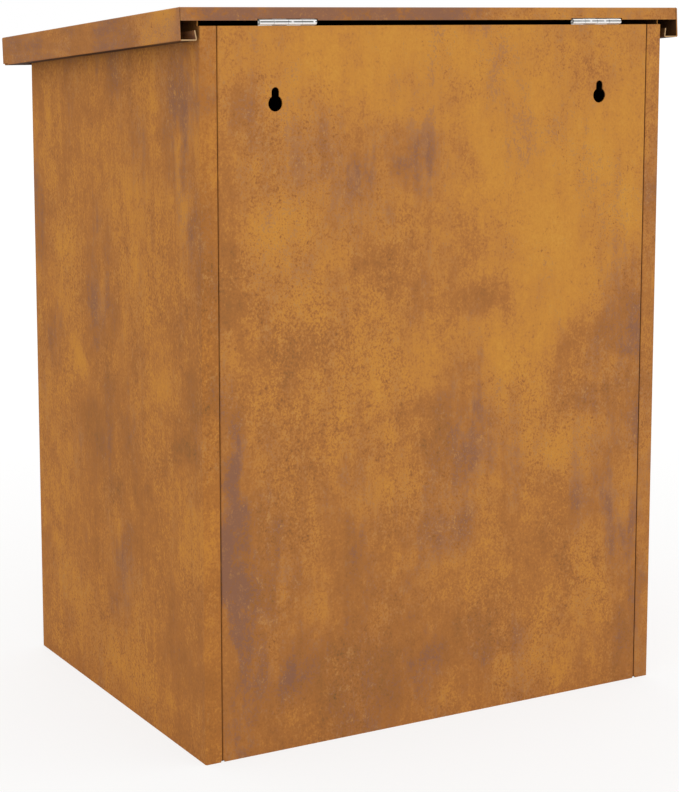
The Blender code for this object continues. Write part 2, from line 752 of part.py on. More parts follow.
def make_door_panel(axis):
    """Door folded as a shallow pan, with the hole for its lock."""
    bm = bmesh.new()
    depth = (DOOR_RETURN, DOOR_RETURN, DOOR_RETURN)
    pan(bm, DOOR_LEFT, DOOR_RIGHT, DOOR_BOTTOM, DOOR_TOP, depth, [])
    facing = frame_matrix(Vector((0, FRONT_Y, 0)), X_AXIS, Z_AXIS)
    door = add_sheet("door_panel", bm, facing, axis)
    gap = TOUCH_GAP
    points = double_flat_points(LOCK_BODY_RADIUS + gap, LOCK_BODY_FLAT + gap)
    hole = outline_mesh("lock_hole", points, HOLE_REACH)
    place_hole = facing @ Matrix.Translation((LOCK_X, LOCK_Z, 0))
    cut(door, add_cutter(hole.name, hole, place_hole))
    return door


def make_lock(door_axis, plug_axis):
    """Cam lock: a flanged housing held by a nut, a keyed plug, and a cam screwed to its square end."""
    # Local Z points out of the door's face, from its outer surface.
    facing = frame_matrix(Vector((LOCK_X, FRONT_Y, LOCK_Z)), X_AXIS, Z_AXIS)
    seat = TOUCH_GAP
    front = seat + LOCK_FLANGE_THICKNESS
    rear = -LOCK_BODY_LENGTH
    bore = PLUG_RADIUS + PLUG_PLAY
    recess = PLUG_HEAD_RADIUS + PLUG_PLAY
    recess_floor = front - PLUG_HEAD_THICKNESS - PLUG_PLAY
    profile = [
        (recess, front), (LOCK_FLANGE_RADIUS - LOCK_FLANGE_EASE, front),
        (LOCK_FLANGE_RADIUS, front - LOCK_FLANGE_EASE), (LOCK_FLANGE_RADIUS, seat),
        (LOCK_BODY_RADIUS, seat), (LOCK_BODY_RADIUS, rear),
        (bore, rear), (bore, recess_floor), (recess, recess_floor),
    ]
    mesh = turned_mesh("lock_housing", profile, 32)
    housing = add_part("lock_housing", mesh, "chrome", door_axis, facing)
    for index, sign in enumerate((1, -1)):
        low, high = sorted((sign * LOCK_BODY_FLAT, sign * 2 * LOCK_BODY_FLAT))
        wide = 2 * LOCK_BODY_RADIUS
        flat = box_mesh(f"lock_flat_{index}", (-wide, low, rear - seat), (wide, high, seat))
        cut(housing, add_cutter(flat.name, flat, facing))
    nut_radius = NUT_ACROSS_FLATS / 2 / math.cos(math.radians(30))
    nut = cylinder_mesh("lock_nut", nut_radius, NUT_THICKNESS, 6)
    nut_place = facing @ Matrix.Translation((0, 0, -SHEET - seat - NUT_THICKNESS / 2))
    nut_part = add_part("lock_nut", nut, "zinc", door_axis, nut_place)
    nut_bore = cylinder_mesh("lock_nut_bore", LOCK_BODY_RADIUS + seat, 2 * NUT_THICKNESS, 32)
    cut(nut_part, add_cutter(nut_bore.name, nut_bore, nut_place))
    cam_front = rear - SHEET_GAP
    cam_rear = cam_front - CAM_THICKNESS
    plug_end = cam_rear + seat
    profile = [
        (0, front), (PLUG_HEAD_RADIUS, front), (PLUG_HEAD_RADIUS, front - PLUG_HEAD_THICKNESS),
        (PLUG_RADIUS, front - PLUG_HEAD_THICKNESS), (PLUG_RADIUS, plug_end), (0, plug_end),
    ]
    mesh = turned_mesh("lock_plug", profile, 24)
    plug = add_part("lock_plug", mesh, "chrome", plug_axis, facing)
    half = PLUG_SQUARE / 2
    big = 2 * PLUG_RADIUS
    for index in range(4):
        turn = facing @ Matrix.Rotation(math.radians(90 * index), 4, "Z")
        side_cut = box_mesh(f"plug_square_{index}", (half, -big, plug_end - seat), (big, big, rear))
        cut(plug, add_cutter(side_cut.name, side_cut, turn))
    slot = box_mesh(
        "key_slot",
        (-KEY_SLOT_WIDTH / 2, -KEY_SLOT_LENGTH / 2, front - KEY_SLOT_DEPTH),
        (KEY_SLOT_WIDTH / 2, KEY_SLOT_LENGTH / 2, front + seat),
    )
    cut(plug, add_cutter(slot.name, slot, facing))
    screw_hole = cylinder_mesh("plug_screw_hole", CAM_SCREW_RADIUS + seat, 2 * CAM_SCREW_DEPTH, 16)
    hole_place = facing @ Matrix.Translation((0, 0, plug_end))
    cut(plug, add_cutter(screw_hole.name, screw_hole, hole_place))
    make_cam(facing, plug_axis, (cam_front + cam_rear) / 2)
    head_seat = cam_rear - seat
    screw_end = plug_end + CAM_SCREW_DEPTH - seat
    profile = [
        (0, screw_end), (CAM_SCREW_RADIUS, screw_end), (CAM_SCREW_RADIUS, head_seat),
        (CAM_SCREW_HEAD_RADIUS, head_seat), (CAM_SCREW_TOP_RADIUS, head_seat - CAM_SCREW_HEAD),
        (0, head_seat - CAM_SCREW_HEAD),
    ]
    add_part("cam_screw", turned_mesh("cam_screw", profile, 16), "zinc", plug_axis, facing)


def make_cam(facing, plug_axis, height):
    """Flat cam, upright when unlocked, with a square hole on the plug's end."""
    spread = math.degrees(math.acos((CAM_HUB_RADIUS - CAM_TIP_RADIUS) / CAM_LENGTH))
    tip = (0, CAM_LENGTH - CAM_TIP_RADIUS)
    points = arc((0, 0), CAM_HUB_RADIUS, 90 + spread, 450 - spread, 18)
    points += arc(tip, CAM_TIP_RADIUS, 90 - spread, 90 + spread, 8)
    place_cam = facing @ Matrix.Translation((0, 0, height))
    mesh = outline_mesh("lock_cam", points, CAM_THICKNESS)
    cam = add_part("lock_cam", mesh, "zinc", plug_axis, place_cam)
    half = PLUG_SQUARE / 2 + TOUCH_GAP
    thick = 2 * CAM_THICKNESS
    hole = box_mesh("cam_square", (-half, -half, -thick), (half, half, thick))
    cut(cam, add_cutter(hole.name, hole, place_cam))


clear_scene()
PARTS = new_collection("rusty_mailbox")
CUTTERS = new_collection("cutters")

lid_axis = add_axis("lid_axis", (0, LID_HINGE_Y, LID_HINGE_HEIGHT))
door_axis = add_axis("door_axis", (DOOR_HINGE_X, FRONT_Y, 0))
lock_axis = add_axis("lock_axis", (LOCK_X, FRONT_Y, LOCK_Z), door_axis)

make_back_panel()
make_floor_tray()
make_front_top_rail()
for hand, side in SIDES.items():
    make_side_panel(f"side_panel_{hand}", side)
    make_seam_rivets(hand, side)
    make_lid_buffers(hand, side)
make_lid_pan(lid_axis)
for hand in LID_HINGE_X:
    make_lid_hinge(hand, lid_axis)
make_door_panel(door_axis)
make_door_hinge("upper", DOOR_TOP - DOOR_HINGE_INSET, door_axis)
make_door_hinge("lower", DOOR_BOTTOM + DOOR_HINGE_INSET, door_axis)
make_lock(door_axis, lock_axis)
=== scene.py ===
import math

import bpy
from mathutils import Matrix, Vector

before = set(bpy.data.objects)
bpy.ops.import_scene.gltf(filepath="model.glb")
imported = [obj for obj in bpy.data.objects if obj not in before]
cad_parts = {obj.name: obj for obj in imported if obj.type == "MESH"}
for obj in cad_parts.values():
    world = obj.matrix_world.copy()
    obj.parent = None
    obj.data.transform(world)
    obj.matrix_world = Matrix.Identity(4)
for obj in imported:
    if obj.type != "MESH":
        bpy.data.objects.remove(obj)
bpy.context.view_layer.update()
print("frame loaded:", len(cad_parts), "pieces")


def tone(code):
    # a screen colour such as "c2863f" as the linear colour that a shader takes
    parts = [int(code[i : i + 2], 16) / 255 for i in (0, 2, 4)]
    linear = [v / 12.92 if v <= 0.04045 else ((v + 0.055) / 1.055) ** 2.4 for v in parts]
    return (*linear, 1.0)


class Wire:
    # one socket of a shader, so that sums on masks read as sums
    def __init__(self, sheet, socket):
        self.sheet = sheet
        self.socket = socket

    def maths(self, operation, first, second=0.0):
        return self.sheet.node("ShaderNodeMath", {"operation": operation}, {0: first, 1: second})

    def __add__(self, other):
        return self.maths("ADD", self, other)

    def __radd__(self, other):
        return self.maths("ADD", other, self)

    def __sub__(self, other):
        return self.maths("SUBTRACT", self, other)

    def __rsub__(self, other):
        return self.maths("SUBTRACT", other, self)

    def __mul__(self, other):
        return self.maths("MULTIPLY", self, other)

    def __rmul__(self, other):
        return self.maths("MULTIPLY", other, self)

    def __abs__(self):
        return self.maths("ABSOLUTE", self)


class Sheet:
    # a node tree that grows one node at a time
    def __init__(self, tree):
        self.tree = tree

    def node(self, kind, settings=None, inputs=None, output=0):
        made = self.tree.nodes.new(kind)
        for name, value in (settings or {}).items():
            if name == "stops":
                self.setStops(made.color_ramp.elements, value)
            else:
                setattr(made, name, value)
        for name, value in (inputs or {}).items():
            self.feed(made.inputs[name], value)
        return Wire(self, made.outputs[output])

    def setStops(self, elements, stops):
        while len(elements) < len(stops):
            elements.new(1.0)
        for element, (position, colour) in zip(elements, stops):
            element.position = position
            element.color = colour

    def feed(self, socket, value):
        if isinstance(value, Wire):
            self.tree.links.new(value.socket, socket)
        else:
            socket.default_value = value

    def outputs(self, wire):
        return [Wire(self, socket) for socket in wire.socket.node.outputs]

    def seenDirectly(self):
        # 1 for rays from the camera, a mirror or glass, and 0 for light on its way
        path = {wire.socket.name: wire for wire in self.outputs(self.node("ShaderNodeLightPath"))}
        glossy = path["Is Glossy Ray"]
        mirrored = glossy.maths("MAXIMUM", glossy, path["Is Transmission Ray"])
        return glossy.maths("MAXIMUM", path["Is Camera Ray"], mirrored)


class Finish(Sheet):
    # one material
    def __init__(self, name, **fixed):
        self.material = bpy.data.materials.new(name)
        self.material.use_nodes = True
        super().__init__(self.material.node_tree)
        self.surface = self.tree.nodes["Principled BSDF"]
        self.output = self.tree.nodes["Material Output"]
        for socket, value in fixed.items():
            self.surface.inputs[socket.replace("_", " ")].default_value = value

    def set(self, socket, value):
        self.feed(self.surface.inputs[socket], value)

    def place(self):
        return self.node("ShaderNodeTexCoord", output=3)

    def facing(self):
        return self.node("ShaderNodeTexCoord", output=1)

    def split(self, vector):
        return self.outputs(self.node("ShaderNodeSeparateXYZ", {}, {0: vector}))

    def stretch(self, vector, scale, offset=(0.0, 0.0, 0.0)):
        inputs = {0: vector, 1: scale, 2: offset}
        return self.node("ShaderNodeVectorMath", {"operation": "MULTIPLY_ADD"}, inputs)

    def length(self, vector):
        return self.node("ShaderNodeVectorMath", {"operation": "LENGTH"}, {0: vector}, output=1)

    def dot(self, first, second):
        inputs = {0: first, 1: second}
        return self.node("ShaderNodeVectorMath", {"operation": "DOT_PRODUCT"}, inputs, output=1)

    def clouds(self, vector, scale, detail, roughness, distortion=0.0, output=0):
        inputs = {
            "Vector": vector, "Scale": scale, "Detail": detail,
            "Roughness": roughness, "Distortion": distortion,
        }
        return self.node("ShaderNodeTexNoise", {}, inputs, output)

    def ramp(self, value, low, high, top=1.0):
        # 0 at low and top at high, with a soft step between
        settings = {"interpolation_type": "SMOOTHSTEP"}
        inputs = {"Value": value, "From Min": low, "From Max": high, "To Min": 0.0, "To Max": top}
        return self.node("ShaderNodeMapRange", settings, inputs)

    def tint(self, factor, under, over):
        inputs = {0: factor, 6: under, 7: over}
        return self.node("ShaderNodeMix", {"data_type": "RGBA"}, inputs, output=2)

    def bump(self, height, strength, distance):
        inputs = {"Height": height, "Strength": strength, "Distance": distance}
        self.set("Normal", self.node("ShaderNodeBump", {}, inputs))


# Places on the box that the marks follow, in metres
box = {
    "middle": 0.24,  # height of its middle
    "rear": 0.141,  # its back face
    "lid slope": 0.0715,  # fall of the lid towards the front, for each metre
}

# What the weather has done to the sheet, and the painted shade on it
rust = {
    "colours": [  # from the brownest to the most yellow
        (0.24, "825f39"), (0.38, "a36a37"), (0.46, "b0733a"), (0.53, "bb7d3d"),
        (0.62, "c8893b"), (0.70, "ce923e"), (0.84, "d8a04e"),
    ],
    "purple": "89614e", "light purple": "a7734c",
    "pit": "7c5030", "fleck": "cd9349",
    # colours of painted shade: inside the box, and near-black under the lid
    "painted shade colour": "523522", "painted shade under lid": "27180c",
    "cut edge": "bd9a70",
    # each noise as stretch down the sheet (less is longer), scale, detail, roughness, distortion
    "noises": {
        "big": (0.85, 9.0, 3.0, 0.6, 0.3),
        "middle": (0.80, 36.0, 3.0, 0.65, 0.2),
        "small": (0.88, 150.0, 3.0, 0.7),
        "fine": (0.85, 640.0, 3.0, 0.75),
        "streak": (0.10, 200.0, 3.0, 0.6),
        "rough": (0.70, 17.0, 4.0, 0.6),
        "wisps": (0.50, 24.0, 5.0, 0.68, 0.4),
        "strokes": (0.18, 90.0, 3.0, 0.65),
    },
    "drift noise": (1.0, 26.0, 4.0, 0.5), "stain drift": (0.05, 0.05, 0.07),
    # how strongly each size of mark shows in the rust, and then in the purple
    "patches": 0.16, "mottling": 0.29, "crumbs": 0.27, "grain": 0.62, "streaks": 0.12,
    "purple wisps": 0.75, "purple strokes": 0.42, "purple crumbs": 2.2, "purple share": -0.08,
    "stain strength": 0.092, "smudge strength": 0.200,
    "patch edge": (0.465, 0.550), "flatness": 0.80, "patch step": 0.055,
    "smooth share": 0.55,  # how much of the crumbs is left where the sheet is smooth
    # each kind of mark as where it begins, where it is full, and how strong it is there
    "rough": (0.42, 0.62, 0.75),
    "purple edge": (0.465, 0.655, 0.85), "light purple edge": (0.45, 0.62),
    "pits": (0.36, 0.24, 0.45), "flecks": (0.58, 0.74, 0.34),
    # painted shade on the faces that look in, its wisps, and the fray of the painted shadow under the
    # lid's channel
    "painted shade facing in": (0.03, 0.09, 0.86), "rubbed edge": (0.30, 0.50),
    "painted shade wisps": (0.70, 0.44, 0.12), "painted shadow fray": 0.010,
    "pit mix": 0.6, "fleck mix": 0.9,  # how far the other fine noise joins in
    "square on": (0.6, 0.8),  # the share of a face's direction that counts as facing one axis
    "edge blur": 0.0002,
    "roughness": 0.85, "roughness spread": 0.25,
    "bump": (0.25, 0.0004),  # strength, and depth in metres
    "bump share": 0.6,  # of the finest and the middle noise, beside the small one
    "shine": 0.15,
}

# Stains as (x, z, half width, half height, amount), in metres on the flat back. Above 0 an amount
# is ochre and below 0 it is brown. Smudges are written the same way and are purple.
backStains = [
    (0.168, 0.335, 0.022, 0.060, -0.9), (0.160, 0.292, 0.025, 0.020, -0.8),
    (0.115, 0.266, 0.026, 0.024, -1.0), (0.140, 0.395, 0.020, 0.045, -0.7),
    (0.045, 0.312, 0.024, 0.018, -0.9), (-0.032, 0.284, 0.028, 0.018, -1.1),
    (0.010, 0.205, 0.032, 0.050, -0.9), (0.040, 0.385, 0.045, 0.032, -0.8),
    (0.100, 0.215, 0.080, 0.050, -0.5), (-0.020, 0.226, 0.018, 0.016, -0.9),
    (0.050, 0.120, 0.055, 0.035, -0.6), (0.030, 0.050, 0.060, 0.050, -0.7),
    (0.090, 0.040, 0.060, 0.050, -0.6), (-0.030, 0.055, 0.038, 0.024, -0.8),
    (-0.110, 0.235, 0.022, 0.038, -0.8), (-0.150, 0.240, 0.028, 0.060, -0.8),
    (-0.165, 0.035, 0.022, 0.050, -1.0), (-0.110, 0.445, 0.040, 0.022, -0.7),
    (-0.090, 0.110, 0.055, 0.050, -0.4),
    (0.125, 0.120, 0.050, 0.060, -0.6), (-0.120, 0.208, 0.018, 0.012, -0.6),
    (0.125, 0.345, 0.032, 0.036, 1.0), (0.090, 0.440, 0.065, 0.034, 0.5),
    (0.010, 0.450, 0.065, 0.030, 0.8), (-0.080, 0.360, 0.055, 0.080, 0.9),
    (-0.090, 0.300, 0.050, 0.048, 0.8), (0.030, 0.240, 0.048, 0.032, 0.7),
    (-0.055, 0.232, 0.044, 0.024, 0.8), (-0.140, 0.400, 0.034, 0.065, 0.7),
    (-0.085, 0.180, 0.044, 0.024, 0.8), (-0.130, 0.225, 0.026, 0.014, 0.8),
    (-0.115, 0.080, 0.020, 0.034, 0.8), (-0.070, 0.025, 0.055, 0.025, 0.7),
    (0.118, 0.105, 0.007, 0.026, 1.3), (0.095, 0.085, 0.012, 0.018, 0.7),
    (0.030, 0.175, 0.022, 0.032, 0.6), (-0.150, 0.340, 0.032, 0.024, 0.8),
]
backSmudges = [
    (0.155, 0.150, 0.010, 0.060, 1.5), (0.153, 0.085, 0.012, 0.050, 1.0),
    (0.150, 0.400, 0.016, 0.024, 0.7), (0.012, 0.385, 0.026, 0.040, 1.1),
    (0.085, 0.385, 0.032, 0.038, 0.6), (0.060, 0.345, 0.020, 0.032, 0.5),
    (-0.018, 0.192, 0.018, 0.028, 0.9), (-0.018, 0.132, 0.012, 0.032, 0.8),
    (-0.141, 0.120, 0.014, 0.048, 1.0), (-0.165, 0.140, 0.014, 0.048, 0.6),
    (-0.095, 0.150, 0.030, 0.040, 0.5), (-0.150, 0.300, 0.022, 0.032, 0.6),
    (0.125, 0.045, 0.018, 0.022, 0.9), (0.015, 0.035, 0.016, 0.032, 0.9),
    (-0.100, 0.466, 0.024, 0.012, 0.8), (-0.072, 0.392, 0.024, 0.022, 0.6),
    (-0.168, 0.230, 0.014, 0.050, 0.9), (0.160, 0.025, 0.022, 0.034, 0.8),
    (-0.065, 0.055, 0.014, 0.024, 0.7), (0.165, 0.240, 0.014, 0.040, 0.6),
]

# The same on the +X side, as (y, z, half depth, half height, amount)
sideStains = [
    (0.125, 0.230, 0.020, 0.030, -0.8), (0.110, 0.200, 0.024, 0.018, -1.0),
    (-0.030, 0.188, 0.022, 0.016, -0.9), (0.045, 0.157, 0.014, 0.014, -0.9),
    (0.000, 0.285, 0.016, 0.030, -0.6), (0.135, 0.275, 0.014, 0.045, -0.7),
    (0.020, 0.140, 0.050, 0.035, -0.4), (0.095, 0.080, 0.030, 0.040, -0.4),
    (-0.110, 0.250, 0.024, 0.030, -0.6), (-0.045, 0.100, 0.030, 0.030, -0.4),
    (0.125, 0.065, 0.018, 0.030, -0.6), (-0.132, 0.420, 0.012, 0.040, -0.6),
    (0.010, 0.425, 0.020, 0.025, -0.6), (-0.085, 0.300, 0.024, 0.020, 0.8),
    (-0.060, 0.232, 0.028, 0.016, 0.8), (-0.110, 0.385, 0.020, 0.038, 0.6),
    (0.115, 0.370, 0.007, 0.032, 1.2), (0.035, 0.290, 0.024, 0.032, 0.5),
    (0.075, 0.235, 0.032, 0.032, 0.5), (0.115, 0.140, 0.032, 0.026, 0.6),
    (-0.095, 0.090, 0.032, 0.055, 0.5), (0.020, 0.030, 0.065, 0.026, 0.6),
    (-0.100, 0.270, 0.020, 0.020, 0.6),
]
sideSmudges = [
    (-0.018, 0.275, 0.022, 0.026, 1.0), (-0.020, 0.335, 0.014, 0.026, 0.7),
    (0.018, 0.100, 0.020, 0.022, 0.8), (0.020, 0.068, 0.028, 0.020, 0.6),
    (0.118, 0.430, 0.026, 0.032, 0.9), (0.128, 0.340, 0.020, 0.065, 0.7),
    (-0.136, 0.330, 0.012, 0.055, 0.9), (-0.105, 0.240, 0.016, 0.026, 0.8),
    (0.005, 0.440, 0.014, 0.032, 0.6),
]
onBack = [[(x, 0.0, z, wide, 9.0, high, much) for x, z, wide, high, much in each]
          for each in (backStains, backSmudges)]
onSide = [[(0.0, y, z, 9.0, wide, high, much) for y, z, wide, high, much in each]
          for each in (sideStains, sideSmudges)]

# Each sheet of the box. "down" is the axis that marks run along, "age" is how far it is from the
# colour of the back and "purple" how much of that it has. "cut edges" are (axis, where, side),
# within "edge limits" of (axis, low, high), where axis 3 is the distance from the middle plane.
# Below, the painted shadow that the lid's channel casts on the side panels is given as the height
# at the back where it begins, where it is full, and how dark it is there.
flangeEdges = {"cut edges": [(2, 0.4673, 1), (2, 0.0, -1)], "edge limits": [(1, 0.1394, 0.2)]}
channelPaintedShadow = {"painted shadow above": (0.4555, 0.4625, 0.50)}
sheets = {
    "back_panel": {
        "seed": 0.0, "down": 2, "age": 0.018, "purple": -0.10, "paler upward": 0.16,
        "stains": onBack[0], "smudges": onBack[1], **flangeEdges,
    },
    "side_panel_right": {
        "seed": 0.0, "down": 2, "age": -0.008, "purple": -0.10, "paler upward": 0.08,
        "warmth": (1.0, 0.97, 0.86),
        "stains": onSide[0], "smudges": onSide[1], **channelPaintedShadow, **flangeEdges,
    },
    "side_panel_left": {"seed": 2.7, "down": 2, **channelPaintedShadow, **flangeEdges},
    "floor_tray": {"seed": 5.1, "down": 1, "age": -0.10},
    "front_top_rail": {"seed": 1.9, "down": 0},
    "door_panel": {"seed": 8.3, "down": 2},
    "lid_pan": {
        # the lid's underside takes the near-black painted shade
        "seed": 4.4, "down": 1, "age": -0.02, "purple": -0.06, "painted shade colour": rust["painted shade under lid"],
        "cut edges": [(1, box["rear"], 1)], "edge limits": [(3, 0.1785, 0.1899), (2, 0.40, 0.4700)],
        "stains": [
            (0.195, 0.115, 0.465, 0.02, 0.034, 0.06, 1.8),
            (-0.11, 0.150, 0.475, 0.055, 0.03, 0.03, 1.4),
            (0.07, 0.150, 0.475, 0.09, 0.03, 0.03, -0.5),
            (0.20, 0.010, 0.445, 0.05, 0.060, 0.06, -0.5),
        ],
        "smudges": [
            (0.12, 0.150, 0.475, 0.08, 0.03, 0.03, 1.7), (0.20, 0.030, 0.450, 0.05, 0.030, 0.06, 1.1),
            (0.20, -0.120, 0.430, 0.05, 0.040, 0.06, 0.9), (0.00, 0.150, 0.475, 0.06, 0.03, 0.03, 1.4),
        ],
    },
}


def addStains(finish, where, stains):
    # the sum of soft patches, each full at its middle and gone at one and a half times its size
    total = None
    for x, y, z, halfX, halfY, halfZ, amount in stains:
        scale = (1 / halfX, 1 / halfY, 1 / halfZ)
        away = finish.stretch(where, scale, (-x / halfX, -y / halfY, -z / halfZ))
        patch = finish.ramp(finish.length(away), 1.5, 0.0, amount)
        total = patch if total is None else total + patch
    return total


def rustNoise(finish, place, piece, look, output=0):
    # one noise of the rust, drawn out down the sheet
    squeeze, *shape = look
    seed = piece["seed"]
    scale = [squeeze if axis == piece["down"] else 1.0 for axis in range(3)]
    vector = finish.stretch(place, scale, (seed, seed * 0.7, seed * 1.3))
    return finish.clouds(vector, *shape, output=output)


def rustLevels(finish, place, spot, piece, noises, rough):
    # how yellow and how purple the rust is, both about 0.5 on average, as each noise is
    big, middle, small, fine = (noises[kind] - 0.5 for kind in ("big", "middle", "small", "fine"))
    streak, wisps, strokes = (noises[kind] - 0.5 for kind in ("streak", "wisps", "strokes"))
    crumbs = (small * rust["crumbs"] + fine * rust["grain"]) * rough
    marks = middle * rust["mottling"] + crumbs + streak * rust["streaks"]
    level = big * rust["patches"] + marks + (0.5 + piece.get("age", 0.0))
    drawn = wisps * rust["purple wisps"] + strokes * rust["purple strokes"]
    share = piece.get("purple", rust["purple share"])
    violet = drawn + crumbs * rust["purple crumbs"] + (0.5 + share)

    if "stains" in piece:
        reach = rust["stain drift"]
        drift = rustNoise(finish, place, piece, rust["drift noise"], output=1)
        warp = finish.stretch(drift, reach, [-each / 2 for each in reach])
        where = finish.node("ShaderNodeVectorMath", {"operation": "ADD"}, {0: place, 1: warp})
        level = level + addStains(finish, where, piece["stains"]) * rust["stain strength"]
        violet = violet + addStains(finish, where, piece["smudges"]) * rust["smudge strength"]
    if "paler upward" in piece:
        level = level + (spot[2] - box["middle"]) * piece["paler upward"]

    # crisper edges round the patches, and less contrast within them
    low, high = rust["patch edge"]
    plain = (low + high) / 2 * (1 - rust["flatness"])
    step = finish.ramp(level, low, high) - 0.5
    return level * rust["flatness"] + plain + step * rust["patch step"], violet


def rustColour(finish, level, violet, noises, rough):
    small, fine = noises["small"], noises["fine"]
    stops = [(position, tone(code)) for position, code in rust["colours"]]
    colour = finish.node("ShaderNodeValToRGB", {"stops": stops}, {0: level})
    light = finish.ramp(level, *rust["light purple edge"])
    purple = finish.tint(light, tone(rust["purple"]), tone(rust["light purple"]))
    colour = finish.tint(finish.ramp(violet, *rust["purple edge"]), colour, purple)
    pits = finish.ramp(fine + (small - 0.5) * rust["pit mix"], *rust["pits"])
    colour = finish.tint(pits * rough, colour, tone(rust["pit"]))
    flecks = finish.ramp(small + (fine - 0.5) * rust["fleck mix"], *rust["flecks"])
    return finish.tint(flecks * rough, colour, tone(rust["fleck"]))


def paintShadeInside(finish, colour, place, facing, piece, wisps):
    # painted shade and darker rust where rain never reaches, on faces looking in to the box's middle
    toMiddle = finish.stretch(place, (-1.0, -1.0, -1.0), (0.0, 0.0, box["middle"]))
    inward = finish.ramp(finish.dot(toMiddle, facing), *rust["painted shade facing in"])
    low, high, spread = rust["painted shade wisps"]
    uneven = (1 - spread) + finish.ramp(wisps, low, high, spread)
    return finish.tint(inward * uneven, colour, tone(piece.get("painted shade colour", rust["painted shade colour"])))


def paintShadowUnderChannel(finish, colour, spot, facing, limits, middle):
    # a softer painted shadow with a frayed lower edge, on the outer face that the lid's channel covers
    height = spot[2] + (box["rear"] - spot[1]) * box["lid slope"]
    frayed = height + (middle - 0.5) * rust["painted shadow fray"]
    outer = finish.ramp(abs(finish.split(facing)[0]), *rust["square on"])
    band = outer * finish.ramp(frayed, *limits)
    return finish.tint(band, colour, tone(rust["painted shade colour"]))


def bareEdges(finish, colour, spot, facing, piece, middle):
    # bare light metal along the cut edges
    blur = rust["edge blur"]
    normal = finish.split(facing)
    spot = spot + [abs(spot[0])]
    for axis, where, side in piece["cut edges"]:
        past = finish.ramp(spot[axis] * side, where * side - blur, where * side)
        worn = past * finish.ramp(normal[axis] * side, *rust["square on"])
        worn = worn * finish.ramp(middle, *rust["rubbed edge"])
        for across, low, high in piece["edge limits"]:
            worn = worn * finish.ramp(spot[across], low - blur, low)
            worn = worn * finish.ramp(spot[across], high, high - blur)
        colour = finish.tint(worn, colour, tone(rust["cut edge"]))
    return colour


# rust, with painted shade on the inward faces and under the lid's channel
def rustAndPaintedShadeFinish(name, piece):
    finish = Finish(name, Specular_IOR_Level=rust["shine"])
    place = finish.place()
    facing = finish.facing()
    spot = finish.split(place)
    noises = {}
    for kind, look in rust["noises"].items():
        noises[kind] = rustNoise(finish, place, piece, look)
    middle, small, fine = noises["middle"], noises["small"], noises["fine"]
    rough = rust["smooth share"] + finish.ramp(noises["rough"], *rust["rough"])

    level, violet = rustLevels(finish, place, spot, piece, noises, rough)
    colour = rustColour(finish, level, violet, noises, rough)
    if "warmth" in piece:
        colour = finish.stretch(colour, piece["warmth"])
    # painted shade on the faces that look in towards the middle of the box
    colour = paintShadeInside(finish, colour, place, facing, piece, noises["wisps"])
    # painted shadow of the lid's channel on the side panels
    if "painted shadow above" in piece:
        limits = piece["painted shadow above"]
        colour = paintShadowUnderChannel(finish, colour, spot, facing, limits, middle)
    if "cut edges" in piece:
        colour = bareEdges(finish, colour, spot, facing, piece, middle)

    finish.set("Base Color", colour)
    finish.set("Roughness", rust["roughness"] + (small - 0.5) * rust["roughness spread"])
    finish.bump(small + (fine + middle) * rust["bump share"], *rust["bump"])
    return finish.material


# Plated and polished pieces: colour, how much of a metal they still are, roughness, how dull they
# have gone, and for the lid's hinges the height of a dark line along each knuckle
brights = {
    "lid hinge zinc": {
        "colour": "fafaf8", "metal": 0.55, "roughness": 0.32, "dull": 0.14, "seam": 0.4697,
    },
    "door hinge zinc": {"colour": "dededa", "metal": 1.0, "roughness": 0.26, "dull": 0.40},
    "rivet zinc": {"colour": "c9c8c2", "metal": 1.0, "roughness": 0.34, "dull": 0.60},
    "cam zinc": {"colour": "cfcbb9", "metal": 1.0, "roughness": 0.30, "dull": 0.50},
    "lock chrome": {"colour": "d4d4d2", "metal": 1.0, "roughness": 0.16, "dull": 0.40},
}
tarnish = {
    "dull": "8d8271", "rusty": "7b5534", "rusty share": 0.7,
    # fine lines and spots, each as scale, detail and roughness
    "lines": (900.0, 3.0, 0.6), "line squeeze": 0.06, "line roughness": 0.2,
    "spots": (420.0, 4.0, 0.65),
    # where each begins and is full on the spots
    "dulled": (0.56, 0.74), "rusted": (0.66, 0.78), "roughened": (0.5, 0.75, 0.08),
    "bump": (0.08, 0.0001),
}
# the dark line along the lid hinges' knuckles
seamLine = {
    "colour": "3b3937",
    "half width": (0.00046, 0.00030), "behind": (0.1412, 0.1416),
    "noise": (170.0, 1.0, 0.55), "breaks": (0.36, 0.44),
}


def addKnuckleLine(plate, colour, place, height):
    # a dark broken line along the rear of each knuckle, at the given height
    spot = plate.split(place)
    breaks = plate.clouds(plate.stretch(place, (1.0, 0.0, 0.0)), *seamLine["noise"])
    seam = plate.ramp(abs(spot[2] - height), *seamLine["half width"])
    seam = seam * plate.ramp(spot[1], *seamLine["behind"]) * plate.ramp(breaks, *seamLine["breaks"])
    return plate.tint(seam, colour, tone(seamLine["colour"]))


def brightFinish(name):
    bright = brights[name]
    plate = Finish(name, Metallic=bright["metal"])
    place = plate.place()
    along = plate.stretch(place, (tarnish["line squeeze"], 1.0, 1.0))
    lines = plate.clouds(along, *tarnish["lines"])
    spots = plate.clouds(place, *tarnish["spots"])
    dull = plate.ramp(spots, *tarnish["dulled"], bright["dull"])
    rusty = plate.ramp(spots, *tarnish["rusted"], bright["dull"] * tarnish["rusty share"])
    colour = plate.tint(dull, tone(bright["colour"]), tone(tarnish["dull"]))
    colour = plate.tint(rusty, colour, tone(tarnish["rusty"]))
    if "seam" in bright:
        colour = addKnuckleLine(plate, colour, place, bright["seam"])
    plate.set("Base Color", colour)
    uneven = (lines - 0.5) * tarnish["line roughness"]
    worn = plate.ramp(spots, *tarnish["roughened"])
    plate.set("Roughness", bright["roughness"] + uneven + worn)
    plate.bump(lines, *tarnish["bump"])
    return plate.material


rubber = {
    "black": "1d1c1b", "dust": "5a4634",
    "noise": (500.0, 4.0, 0.6), "dusty": (0.45, 0.75, 0.5),
    "roughness": 0.75, "roughness spread": 0.3, "bump": (0.1, 0.0002), "shine": 0.3,
}


